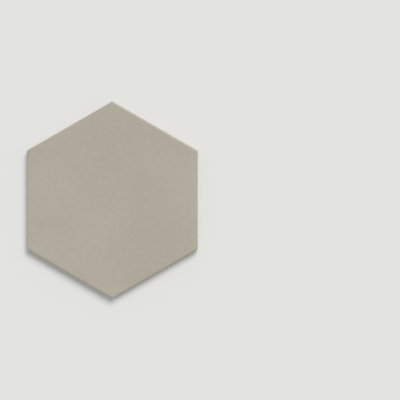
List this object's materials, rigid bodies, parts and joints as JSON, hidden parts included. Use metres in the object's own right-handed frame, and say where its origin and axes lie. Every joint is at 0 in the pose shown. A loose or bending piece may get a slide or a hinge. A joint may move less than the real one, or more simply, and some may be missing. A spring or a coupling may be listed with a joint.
{
  "type": "hexagon floor tile",
  "caption": "Regular hexagonal floor tile in plain satin-glazed stoneware, with eased face edges, bevelled sides and a honeycomb keying relief on its back.",
  "frame": {"origin": "middle of the back, on the bedding plane, with the tile lying glazed face up", "axes": "+Z out through the glazed face, +X across two opposite flats, +Y through two opposite corners"},
  "size_m": [0.175, 0.2018, 0.009],
  "materials": {
    "glazed_stoneware": "satin"
  },
  "bodies": {
    "root": {"hexagon_tile": "glazed_stoneware"}
  },
  "joints": []
}
